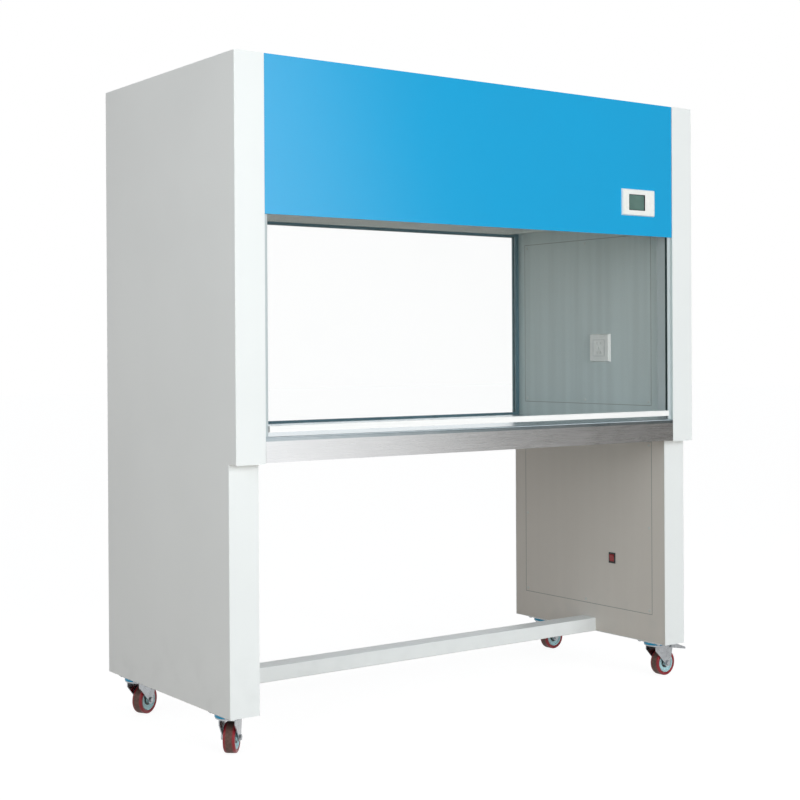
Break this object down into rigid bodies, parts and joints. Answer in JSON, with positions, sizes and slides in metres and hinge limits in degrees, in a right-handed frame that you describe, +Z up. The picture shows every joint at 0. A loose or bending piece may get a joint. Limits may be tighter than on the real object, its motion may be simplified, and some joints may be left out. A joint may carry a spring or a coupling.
{
  "type": "vertical laminar flow cabinet",
  "caption": "Floor-standing vertical laminar flow cabinet: blue filter hood over a glass-fronted work chamber with a steel worktop, on swivel casters.",
  "frame": {"origin": "on the floor, midway between the outer faces of the two side walls and midway between the front and rear planes of the body", "axes": "+X to the cabinet's right as seen by the user, +Y to the back, +Z up"},
  "size_m": [1.5867, 0.721, 1.666],
  "materials": {
    "white_coat": "satin",
    "blue_coat": "gloss",
    "grey_coat": "satin",
    "dark_frame": "satin",
    "stainless": "satin",
    "zinc_sheet": "matte",
    "zinc_steel": "satin",
    "anodised": "satin",
    "clear_glass": "gloss",
    "lamp_tube": "satin",
    "white_plastic": "gloss",
    "screen": "gloss",
    "black_plastic": "satin",
    "red_plastic": "gloss",
    "blue_plastic": "satin",
    "hub_plastic": "satin",
    "tread": "satin",
    "runner_plastic": "satin",
    "cast": "matte",
    "nylon": "satin",
    "wire": "satin",
    "filter_paper": "matte",
    "grey_plastic": "satin"
  },
  "bodies": {
    "root": {"left_side_shell": "white_coat", "right_side_shell": "white_coat", "left_inner_liner": "white_coat", "right_inner_liner": "white_coat", "chamber_access_panel": "white_coat", "leg_access_panel": "white_coat", "foot_crossbar": "white_coat", "hood_top_cover": "white_coat", "hood_rear_panel": "white_coat", "front_panel": "blue_coat", "ceiling_panel": "grey_coat", "worktop": "stainless", "worktop_frame": "zinc_sheet", "plenum_box": "zinc_sheet", "inlet_nozzles": "zinc_sheet", "fan_motors": "zinc_steel", "pulley_brackets": "zinc_steel", "caster_plates": "zinc_steel", "diffuser_screen": "grey_plastic", "control_box": "grey_plastic", "power_gland": "black_plastic", "hepa_frame": "anodised", "hepa_pleats": "filter_paper", "prefilters": "filter_paper", "lamp_fittings": "white_plastic", "lamp_tubes": "lamp_tube", "display_bezel": "white_plastic", "socket_plate": "white_plastic", "display_screen": "screen", "rear_glass": "clear_glass", "rear_glass_frame": "dark_frame", "sash_guides": "dark_frame", "sash_wires": "wire", "switch_housing": "black_plastic", "caster_seal_rings": "blue_plastic"},
    "sash": {"sash_glass": "clear_glass", "sash_handle": "anodised", "sash_runners": "runner_plastic"},
    "left_counterweight": {"left_counterweight": "cast"},
    "right_counterweight": {"right_counterweight": "cast"},
    "left_pulley": {"left_pulley": "nylon"},
    "right_pulley": {"right_pulley": "nylon"},
    "left_fan": {"left_impeller": "anodised"},
    "right_fan": {"right_impeller": "anodised"},
    "rocker": {"switch_rocker": "red_plastic"},
    "front_left_caster": {"front_left_fork": "zinc_steel"},
    "front_left_wheel": {"front_left_wheel_core": "hub_plastic", "front_left_tyre": "tread"},
    "front_right_caster": {"front_right_fork": "zinc_steel"},
    "front_right_wheel": {"front_right_wheel_core": "hub_plastic", "front_right_tyre": "tread"},
    "rear_left_caster": {"rear_left_fork": "zinc_steel"},
    "rear_left_wheel": {"rear_left_wheel_core": "hub_plastic", "rear_left_tyre": "tread"},
    "rear_right_caster": {"rear_right_fork": "zinc_steel"},
    "rear_right_wheel": {"rear_right_wheel_core": "hub_plastic", "rear_right_tyre": "tread"},
    "front_left_pedal": {"front_left_brake_pedal": "zinc_steel"},
    "front_right_pedal": {"front_right_brake_pedal": "zinc_steel"}
  },
  "joints": [
    {"name": "sash_slide", "type": "slide", "parent": "root", "child": "sash", "axis": [0, 0, 1], "range_m": [0, 0.31], "deforming": ["sash_wires"]},
    {"name": "left_counterweight_slide", "type": "slide", "parent": "root", "child": "left_counterweight", "axis": [0, 0, 1], "range_m": [-0.31, 0]},
    {"name": "left_pulley_spin", "type": "hinge", "parent": "root", "child": "left_pulley", "pos_m": [-0.69275, -0.3355, 1.6405], "axis": [0, -1, 0], "range_deg": [0, 890]},
    {"name": "right_counterweight_slide", "type": "slide", "parent": "root", "child": "right_counterweight", "axis": [0, 0, 1], "range_m": [-0.31, 0]},
    {"name": "right_pulley_spin", "type": "hinge", "parent": "root", "child": "right_pulley", "pos_m": [0.69275, -0.3355, 1.6405], "axis": [0, 1, 0], "range_deg": [0, 890]},
    {"name": "left_fan_spin", "type": "hinge", "parent": "root", "child": "left_fan", "pos_m": [-0.32, 0.0475, 1.4705], "axis": [0, 0, 1], "continuous": true},
    {"name": "right_fan_spin", "type": "hinge", "parent": "root", "child": "right_fan", "pos_m": [0.32, 0.0475, 1.4705], "axis": [0, 0, 1], "continuous": true},
    {"name": "rocker_tip", "type": "hinge", "parent": "root", "child": "rocker", "pos_m": [0.683, -0.098, 0.338], "axis": [0, 1, 0], "range_deg": [0, 16]},
    {"name": "front_left_swivel", "type": "hinge", "parent": "root", "child": "front_left_caster", "pos_m": [-0.72, -0.237, 0.0955], "axis": [0, 0, 1], "continuous": true},
    {"name": "front_left_roll", "type": "hinge", "parent": "front_left_caster", "child": "front_left_wheel", "pos_m": [-0.69993, -0.21471, 0.0375], "axis": [-0.7431, 0.6691, 0], "continuous": true},
    {"name": "front_right_swivel", "type": "hinge", "parent": "root", "child": "front_right_caster", "pos_m": [0.72, -0.237, 0.0955], "axis": [0, 0, 1], "continuous": true},
    {"name": "front_right_roll", "type": "hinge", "parent": "front_right_caster", "child": "front_right_wheel", "pos_m": [0.74998, -0.23595, 0.0375], "axis": [-0.0349, 0.9994, 0], "continuous": true},
    {"name": "rear_left_swivel", "type": "hinge", "parent": "root", "child": "rear_left_caster", "pos_m": [-0.72, 0.256, 0.0955], "axis": [0, 0, 1], "continuous": true},
    {"name": "rear_left_roll", "type": "hinge", "parent": "rear_left_caster", "child": "rear_left_wheel", "pos_m": [-0.69351, 0.27008, 0.0375], "axis": [-0.4695, 0.8829, 0], "continuous": true},
    {"name": "rear_right_swivel", "type": "hinge", "parent": "root", "child": "rear_right_caster", "pos_m": [0.72, 0.256, 0.0955], "axis": [0, 0, 1], "continuous": true},
    {"name": "rear_right_roll", "type": "hinge", "parent": "rear_right_caster", "child": "rear_right_wheel", "pos_m": [0.74996, 0.25757, 0.0375], "axis": [-0.0523, 0.9986, 0], "continuous": true},
    {"name": "front_left_pedal_press", "type": "hinge", "parent": "front_left_caster", "child": "front_left_pedal", "pos_m": [-0.68922, -0.20281, 0.0882], "axis": [-0.7431, 0.6691, 0], "range_deg": [0, 14]},
    {"name": "front_right_pedal_press", "type": "hinge", "parent": "front_right_caster", "child": "front_right_pedal", "pos_m": [0.76597, -0.23539, 0.0882], "axis": [-0.0349, 0.9994, 0], "range_deg": [0, 14]}
  ],
  "couplings": [
    {"joint": "left_counterweight_slide", "follows": "sash_slide", "ratio": -1},
    {"joint": "left_pulley_spin", "follows": "sash_slide", "rad_per_m": 50},
    {"joint": "right_counterweight_slide", "follows": "sash_slide", "ratio": -1},
    {"joint": "right_pulley_spin", "follows": "sash_slide", "rad_per_m": 50}
  ]
}
